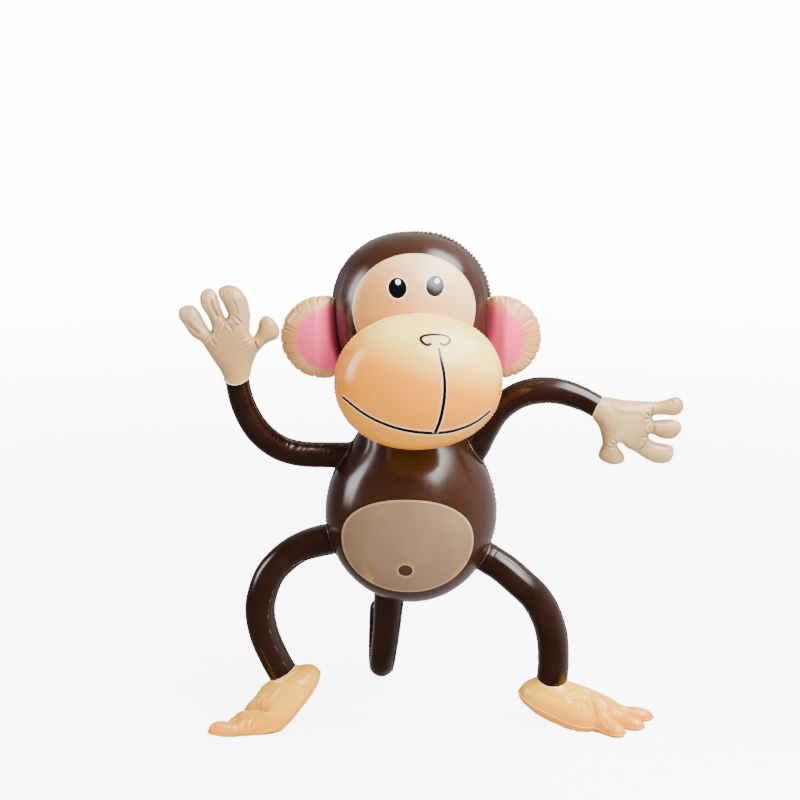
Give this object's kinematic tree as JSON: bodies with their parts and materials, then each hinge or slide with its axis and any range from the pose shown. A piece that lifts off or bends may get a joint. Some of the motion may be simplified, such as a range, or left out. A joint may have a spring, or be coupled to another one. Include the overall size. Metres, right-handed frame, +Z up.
{
  "type": "inflatable monkey",
  "caption": "Blow-up vinyl monkey that stands on two bent legs with one hand raised, a curled tail behind and a big round muzzle, for party or room decoration.",
  "frame": {"origin": "middle of the underside of the bounding box, on the floor under the standing feet", "axes": "+Z up, -Y to the front where the muzzle points, +X to the monkey's left"},
  "size_m": [0.6344, 0.3796, 0.653],
  "materials": {
    "brown_vinyl": "glossy dark brown PVC film",
    "peach_vinyl": "glossy peach PVC film with printed nose and mouth lines",
    "ear_vinyl": "glossy PVC film, pink inside a peach rim",
    "beige_vinyl": "glossy beige PVC film",
    "foot_vinyl": "glossy orange-tan PVC film"
  },
  "bodies": {
    "root": {"body_and_head": "brown_vinyl", "muzzle": "peach_vinyl", "right_ear": "ear_vinyl", "left_ear": "ear_vinyl", "right_arm": "brown_vinyl", "left_arm": "brown_vinyl", "right_hand": "beige_vinyl", "left_hand": "beige_vinyl", "right_leg": "brown_vinyl", "left_leg": "brown_vinyl", "right_foot": "foot_vinyl", "left_foot": "foot_vinyl", "tail": "brown_vinyl", "valve": "brown_vinyl"}
  },
  "joints": []
}
